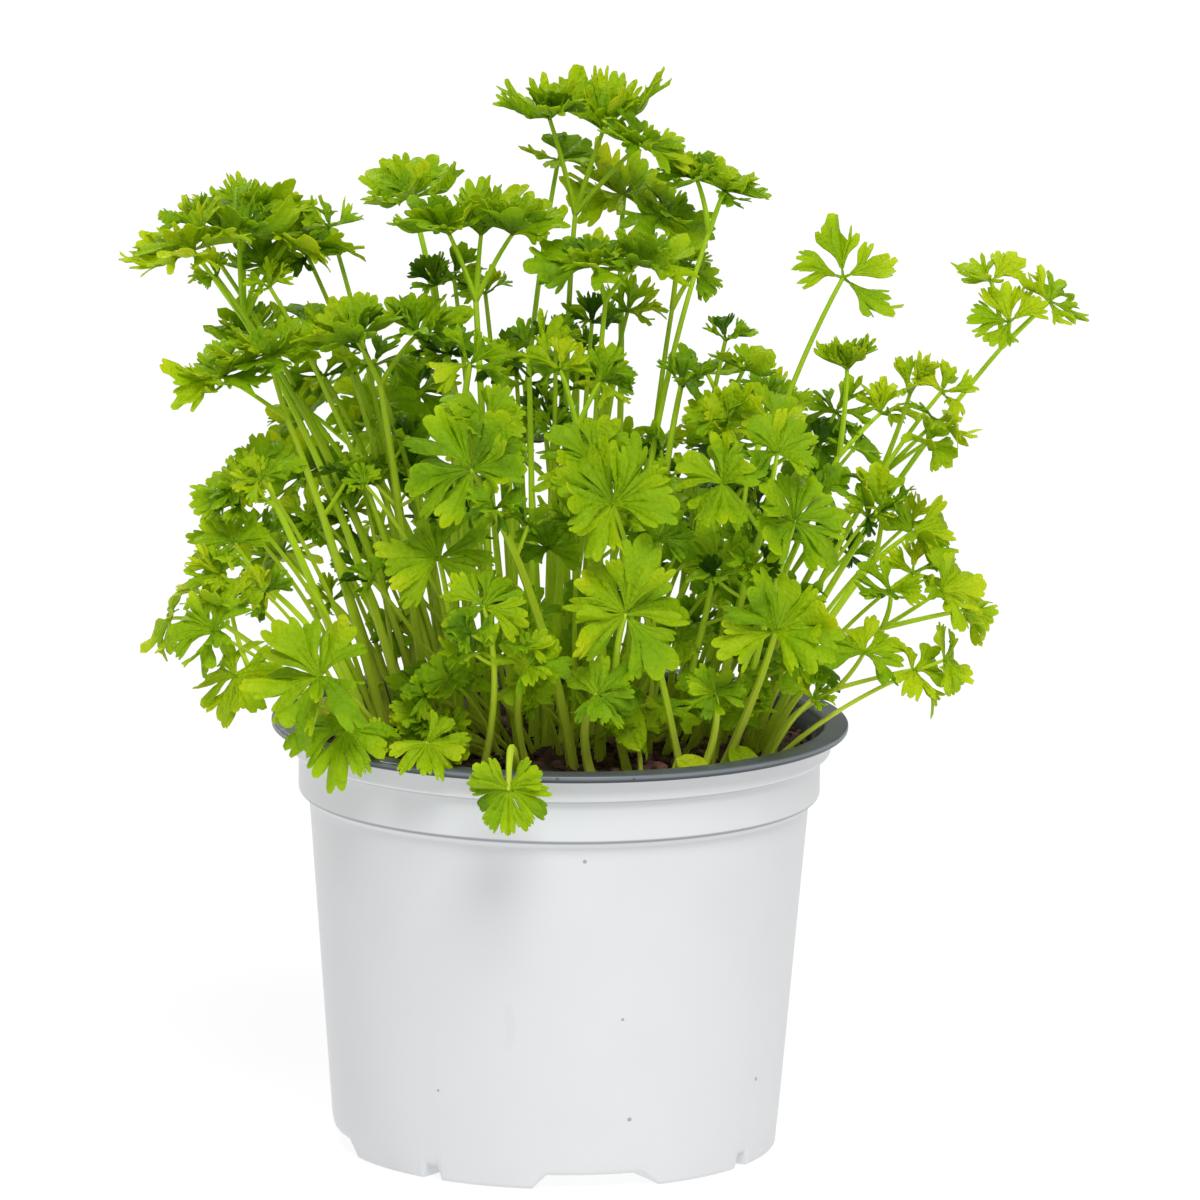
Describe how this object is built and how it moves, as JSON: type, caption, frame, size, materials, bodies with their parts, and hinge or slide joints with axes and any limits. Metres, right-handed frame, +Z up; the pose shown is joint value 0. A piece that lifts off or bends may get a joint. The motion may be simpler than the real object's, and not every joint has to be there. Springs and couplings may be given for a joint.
{
  "type": "potted parsley",
  "caption": "Curled parsley growing as a dense clump of stalks with lobed leaflets, in soil, in a round grower's pot with a rolled rim.",
  "frame": {"origin": "centre of the face the pot stands on", "axes": "+Z up, -Y towards the viewer of the picture, +X to the right in it"},
  "size_m": [0.2159, 0.1527, 0.2442],
  "materials": {
    "pot_plastic": "satin white polystyrene sheet, dark grey on the inside and the lip",
    "potting_soil": "moist, crumbly peat and bark",
    "deep_green_leaf": "leaf with a soft sheen",
    "spring_green_leaf": "leaf with a soft sheen"
  },
  "bodies": {
    "root": {"pot": "pot_plastic", "soil": "potting_soil", "frond_01": "deep_green_leaf", "frond_02": "deep_green_leaf", "frond_03": "deep_green_leaf", "frond_04": "deep_green_leaf", "frond_05": "deep_green_leaf", "frond_06": "deep_green_leaf", "frond_07": "deep_green_leaf", "frond_08": "deep_green_leaf", "frond_09": "deep_green_leaf", "frond_10": "deep_green_leaf", "frond_11": "deep_green_leaf", "frond_12": "deep_green_leaf", "frond_13": "deep_green_leaf", "frond_14": "spring_green_leaf", "frond_15": "spring_green_leaf", "frond_16": "spring_green_leaf", "frond_17": "spring_green_leaf", "frond_18": "deep_green_leaf", "frond_19": "spring_green_leaf", "frond_20": "deep_green_leaf", "frond_21": "deep_green_leaf", "frond_22": "deep_green_leaf", "frond_23": "deep_green_leaf", "frond_24": "spring_green_leaf", "frond_25": "spring_green_leaf", "frond_26": "deep_green_leaf", "frond_27": "deep_green_leaf", "frond_28": "deep_green_leaf", "frond_29": "deep_green_leaf", "frond_30": "deep_green_leaf", "frond_31": "deep_green_leaf", "frond_32": "deep_green_leaf", "frond_33": "deep_green_leaf", "frond_34": "deep_green_leaf", "frond_35": "spring_green_leaf", "frond_36": "spring_green_leaf", "frond_37": "spring_green_leaf", "frond_38": "spring_green_leaf", "frond_39": "spring_green_leaf", "frond_40": "spring_green_leaf", "frond_41": "spring_green_leaf", "frond_42": "deep_green_leaf", "frond_43": "deep_green_leaf", "frond_44": "spring_green_leaf", "frond_45": "spring_green_leaf", "frond_46": "deep_green_leaf", "frond_47": "deep_green_leaf", "frond_48": "spring_green_leaf", "frond_49": "spring_green_leaf", "frond_50": "spring_green_leaf", "frond_51": "spring_green_leaf", "frond_52": "deep_green_leaf", "frond_53": "deep_green_leaf", "frond_54": "deep_green_leaf", "frond_55": "spring_green_leaf", "frond_56": "spring_green_leaf", "frond_57": "spring_green_leaf", "frond_58": "spring_green_leaf"}
  },
  "joints": []
}
